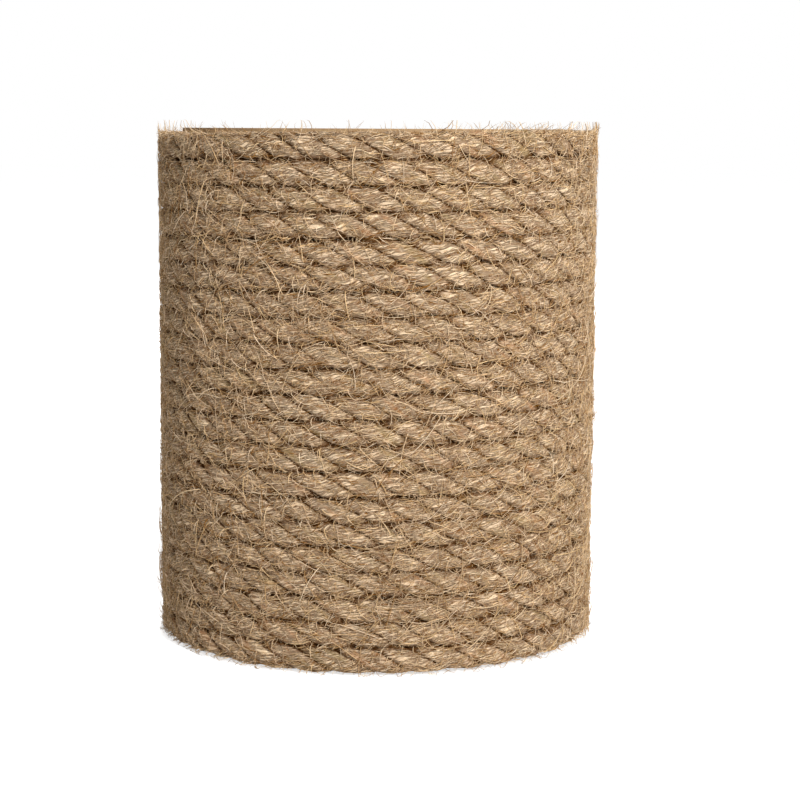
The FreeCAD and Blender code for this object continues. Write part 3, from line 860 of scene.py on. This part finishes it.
def plywood_material(colours):
    """Birch plywood: long fine grain on its faces, plies round its edge and hole."""
    make = Material("plywood", {"Roughness": 0.8, "Specular IOR Level": 0.12})
    x, y, z = make.place()

    def along_grain(length_x, length_y, length_z, detail):
        """Noise with spots of these lengths, in millimetres."""
        lengths = ((x, length_x), (y, length_y), (z, length_z))
        scaled = [axis / (size * MM) for axis, size in lengths]
        return make.noise(make.vector(*scaled), 1.0, detail)

    warp = along_grain(70, 16, 30, 2.0)
    grain = along_grain(14, 0.5, 0.5, 3.0)
    pore = make.steps(along_grain(2.2, 0.22, 0.3, 0.0), (0.68, 0.0), (0.76, 1.0))
    figure = (warp * 40).sin() * 0.5 + 0.5
    late = figure * 0.3 + grain * 0.9 - 0.1
    face = make.blend(late, colours.birch_light, colours.birch_dark)
    face = make.blend(pore * 0.5, face, colours.birch_edge)
    ply = (z / (1.5 * MM)).floor().math("MODULO", 2.0)
    edge = make.blend(ply * 0.8, colours.birch_light, colours.birch_edge)
    make.paint(make.blend(make.facing_up(), edge, face))
    make.bump(grain * 0.4 - pore, 0.08 * MM, 0.7)
    return make.material


def steel_material(name, shade, roughness, thread_pitch=0.0):
    """Plated steel with faint blotches and scratches, and a thread's ridges inside a bore."""
    make = Material(name, {"Metallic": 1.0})
    x, y, z = make.place()
    blotch = make.noise(make.vector(x, y, z), 350.0, 3.0)
    scratch = make.noise(make.vector(x, y * 9, z * 5), 1500.0, 2.0)
    dull = [level * 0.72 for level in shade]
    make.paint(make.blend(make.steps(blotch, (0.35, 0.0), (0.65, 1.0)), dull, shade))
    make.paint(blotch * 0.22 + scratch * 0.12 + (roughness - 0.17), "Roughness")
    height = scratch * 0.02
    if thread_pitch:
        phase = (z / thread_pitch - y.math("ARCTAN2", x) / TURN).fraction()
        ridge = (phase - 0.5).size() * 2
        in_bore = (NUT_THREAD_RADIUS - make.radius(x, y)).math("SIGN").at_least(0.0)
        height = height + ridge * in_bore
    make.bump(height, 0.45 * MM, 0.9)
    return make.material


def glue_material(colours):
    """Cloudy amber hot-melt glue."""
    sockets = {
        "Roughness": 0.28, "Specular IOR Level": 0.5,
        "Subsurface Weight": 0.35, "Subsurface Scale": 2 * MM,
    }
    make = Material("hot_melt_glue", sockets)
    x, y, z = make.place()
    cloud = make.noise(make.vector(x, y, z), 420.0, 2.0)
    make.paint(make.blend(cloud, colours.glue_clear, colours.glue_cloudy))
    make.bump(cloud, 0.2 * MM, 0.4)
    return make.material


def coat(material, *nodes):
    """Gives CAD nodes a material, in every slot."""
    for name in nodes:
        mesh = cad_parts[name].data
        if not mesh.materials:
            mesh.materials.append(material)
        for index in range(len(mesh.materials)):
            mesh.materials[index] = material


def turned_mesh(name, rings):
    """A closed mesh through rings of points, with a fan of faces over its first and last."""
    columns = len(rings[0])
    points = [point for ring in rings for point in ring]
    faces = []
    for row in range(len(rings) - 1):
        low, high = row * columns, (row + 1) * columns
        for column in range(columns):
            beside = (column + 1) % columns
            faces.append((low + column, low + beside, high + beside, high + column))
    last = (len(rings) - 1) * columns
    for start, ring, is_last in ((0, rings[0], False), (last, rings[-1], True)):
        points.append(tuple(sum(axis) / columns for axis in zip(*ring)))
        for column in range(columns):
            pair = (start + column, start + (column + 1) % columns)
            faces.append((*(pair if is_last else pair[::-1]), len(points) - 1))
    mesh = bpy.data.meshes.new(name)
    mesh.from_pydata(points, [], faces)
    return mesh


def stud_rings(sizes, low, high, radius):
    """Rings of a threaded stud: lower end, thread, upper end, and the hexagon socket."""
    columns, rings_per_pitch = 48, 8
    angles = [TURN * column / columns for column in range(columns)]
    end_bevel, mouth_depth, mouth_flare = 0.4 * MM, 0.15 * MM, 0.12 * MM
    drill_depth, drill_tip = 0.5 * MM, 0.6 * MM

    def ring(z, radius_at):
        return [(radius_at(a) * math.cos(a), radius_at(a) * math.sin(a), z) for a in angles]

    def thread(z):
        end = radius - sizes.chamfer + min(z - low, high - z, sizes.chamfer)

        def radius_at(a):
            phase = (z / sizes.thread_pitch - a / TURN) % 1.0
            cut = min(1.0, 1.25 * abs(2 * phase - 1))
            return min(end, radius - sizes.thread_depth * cut)

        return radius_at

    def hexagon(a):
        off_flat = (a + TURN / 12) % (TURN / 6) - TURN / 12
        return sizes.socket_width / 2 / math.cos(off_flat)

    def mouth(a):
        return hexagon(a) + mouth_flare * (1 - math.cos(6 * a)) / 2

    steps = round((high - low) / sizes.thread_pitch * rings_per_pitch)
    heights = [low + (high - low) * step / steps for step in range(steps + 1)]
    floor = high - sizes.socket_depth
    return [
        ring(low, lambda a: radius - sizes.chamfer - end_bevel),
        *(ring(z, thread(z)) for z in heights),
        ring(high, mouth),
        ring(high - mouth_depth, hexagon),
        ring(floor, hexagon),
        ring(floor - drill_depth, lambda a: drill_tip),
    ]


def glue_bead_tree(material):
    """A lumpy line of glue in the corner between the tube and the rope."""
    defaults = {
        "start": 0.0, "sweep": 1.2, "height": 1.7 * MM, "radius": 1.35 * MM, "lumps": 0.3,
        "segments": 130, "seed": 1,
    }
    rim_gap = 0.05 * MM
    tree = GeometryTree("glue_bead", labelled(defaults))
    tube = tree.cylinder(16, tree["Segments"])
    x, y, z = tree.position()
    along = z + 0.5
    azimuth = tree["Start"] + along * tree["Sweep"]
    round_end = (1 - (z * 2).size().power(24.0)).at_least(0.0).root()
    lump = tree.swing(tree.vector(along * 22, x * 0.5 + tree["Seed"], y * 0.5))
    radius = tree["Radius"] * (1 + lump * tree["Lumps"] * 0.5) * round_end
    reach = (TUBE_RADIUS + x * radius).at_least(TUBE_RADIUS - 0.2 * MM)
    height = (tree["Height"] - y * radius).at_least(rim_gap).at_most(POST_HEIGHT - rim_gap)
    point = tree.vector(azimuth.cos() * reach, azimuth.sin() * reach, height)
    return tree.finish(tree.move(tube, point), material)


class POST_OT_core(bpy.types.Operator):
    """Finishes the paper tube and its plywood discs"""

    bl_idname = "post.core"
    bl_label = "Tube and discs"

    def execute(self, context):
        colours = context.scene.post_colours
        coat(paperboard_material(colours), "core_tube")
        coat(plywood_material(colours), "bottom_disc", "top_disc")
        return {"FINISHED"}


class POST_OT_hardware(bpy.types.Operator):
    """Finishes the tee nuts and staples, and cuts the stud's thread and socket"""

    bl_idname = "post.hardware"
    bl_label = "Hardware"

    def execute(self, context):
        sizes = context.scene.post_stud
        colours = context.scene.post_colours
        zinc = steel_material("zinc_plate", colours.zinc, 0.36, sizes.thread_pitch)
        coat(zinc, "bottom_tee_nut", "top_tee_nut")
        wire = steel_material("staple_wire", colours.staple, 0.3)
        coat(wire, *(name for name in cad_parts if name.endswith("_staples")))
        low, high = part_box("connecting_stud")
        mesh = turned_mesh("threaded_stud", stud_rings(sizes, low.z, high.z, high.x))
        mesh.materials.append(steel_material("stud_steel", colours.stud, 0.32))
        mesh.shade_smooth()
        mesh.set_sharp_from_angle(angle=math.radians(35))
        stud = add_object("threaded_stud", mesh)
        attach(stud, "stud")
        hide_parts("connecting_stud")
        return {"FINISHED"}


class POST_OT_glue(bpy.types.Operator):
    """Runs the glue beads beside the rope's first and last climb"""

    bl_idname = "post.glue"
    bl_label = "Glue beads"

    def execute(self, context):
        glue = context.scene.post_glue
        tree = glue_bead_tree(glue_material(context.scene.post_colours))
        ends = (("bottom", glue.bottom_azimuth, 6), ("top", glue.top_azimuth, 3))
        for end, azimuth, seed in ends:
            low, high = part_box(f"{end}_glue_bead")
            bead = grow(
                f"{end}_bead", tree, start=azimuth - glue.sweep / 2, sweep=glue.sweep,
                height=(low.z + high.z) / 2, seed=seed,
            )
            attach(bead, BODY)
            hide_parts(f"{end}_glue_bead")
        return {"FINISHED"}


# ---- Stage ----

LAMPS = {  # each lamp's place and its width, in metres
    "key_lamp": ((0.52, -1.0, 0.65), 0.16),
    "back_lamp": ((-0.12, 1.1, 0.65), 0.4),
}


def seen_directly(make):
    """1 for a ray that the camera or a reflection sees, 0 for one that only carries light."""
    path = make.node("ShaderNodeLightPath").outputs
    seen = Field(make.tree, path["Is Camera Ray"]).at_least(path["Is Glossy Ray"])
    return seen.at_least(path["Is Transmission Ray"])


def studio_white(name, lit, glow):
    """A diffuse white that cameras and reflections see lifted to white, with shadows kept."""
    material = bpy.data.materials.new(name)
    material.use_nodes = True
    make = Builder(material.node_tree)
    make.tree.nodes.clear()
    diffuse = make.output("ShaderNodeBsdfDiffuse", {"Color": (lit, lit, lit, 1.0)})
    lift = make.output("ShaderNodeEmission", {"Strength": seen_directly(make) * glow})
    both = make.output("ShaderNodeAddShader", {0: diffuse, 1: lift})
    make.node("ShaderNodeOutputMaterial", {"Surface": both})
    return material


def make_floor(stage):
    half = stage.floor_size / 2
    mesh = bpy.data.meshes.new("floor")
    corners = [(-half, -half, 0), (half, -half, 0), (half, half, 0), (-half, half, 0)]
    mesh.from_pydata(corners, [], [(0, 1, 2, 3)])
    mesh.materials.append(studio_white("studio_floor", stage.floor_white, stage.floor_glow))
    floor = add_object("floor", mesh)


def make_world(ambient):
    """Even white light from all round, seen as plain white."""
    world = bpy.data.worlds.new("studio")
    bpy.context.scene.world = world
    world.use_nodes = True
    make = Builder(world.node_tree)
    background = world.node_tree.nodes["Background"]
    background.inputs["Color"].default_value = (1.0, 1.0, 1.0, 1.0)
    strength = seen_directly(make) * (1 - ambient) + ambient
    feed(make.tree, background.inputs["Strength"], strength)


def add_lamp(name, place, size, power):
    """A square soft lamp that faces the middle of the post."""
    lamp = bpy.data.lights.new(name, "AREA")
    lamp.size = size
    lamp.energy = power
    holder = add_object(name, lamp)
    holder.location = place
    aim = Vector((0, 0, POST_HEIGHT / 2)) - holder.location
    holder.rotation_euler = aim.to_track_quat("-Z", "Y").to_euler()


def add_camera(stage):
    camera = bpy.data.cameras.new("camera")
    camera.lens = stage.focal_length
    camera.sensor_width = 36.0
    camera.clip_start = 0.01
    camera.clip_end = 50.0
    holder = add_object("camera", camera)
    holder.location = (0, -stage.distance, stage.eye_height)
    level = Euler((math.pi / 2 - stage.pitch, 0, -stage.yaw)).to_matrix()
    turned = level @ Euler((0, 0, stage.roll)).to_matrix()
    holder.rotation_euler = turned.to_euler()
    bpy.context.scene.camera = holder


class POST_OT_stage(bpy.types.Operator):
    """Sets the floor, the lamps and the camera of the photograph"""

    bl_idname = "post.stage"
    bl_label = "Stage"

    def execute(self, context):
        stage = context.scene.post_stage
        add_camera(stage)
        make_floor(stage)
        make_world(stage.ambient)
        for name, (place, size) in LAMPS.items():
            add_lamp(name, place, size, getattr(stage, name.replace("lamp", "power")))
        context.scene.view_settings.view_transform = "Standard"
        return {"FINISHED"}


# ---- Panel and registration ----


class POST_PT_panel(bpy.types.Panel):
    """Lists the pieces of the post"""

    bl_label = "Scratching Post"
    bl_idname = "POST_PT_panel"
    bl_space_type = "VIEW_3D"
    bl_region_type = "UI"
    bl_category = "Post"

    def draw(self, context):
        for operator in OPERATORS:
            self.layout.operator(operator.bl_idname)
        for name, group in SETTINGS.items():
            for setting in group.__annotations__:
                self.layout.prop(getattr(context.scene, name), setting)


OPERATORS = (
    POST_OT_stage, POST_OT_core, POST_OT_hardware, POST_OT_glue, POST_OT_rope, POST_OT_fibres,
)
CLASSES = (*SETTINGS.values(), *OPERATORS, POST_PT_panel)


def register():
    for cls in CLASSES:
        bpy.utils.register_class(cls)
    for name, group in SETTINGS.items():
        setattr(bpy.types.Scene, name, bpy.props.PointerProperty(type=group))


def unregister():
    for name in SETTINGS:
        delattr(bpy.types.Scene, name)
    for cls in reversed(CLASSES):
        bpy.utils.unregister_class(cls)


def main():
    register()
    for operator in OPERATORS:
        getattr(bpy.ops.post, operator.bl_idname.split(".")[1])()
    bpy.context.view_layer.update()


if __name__ == "__main__":
    main()
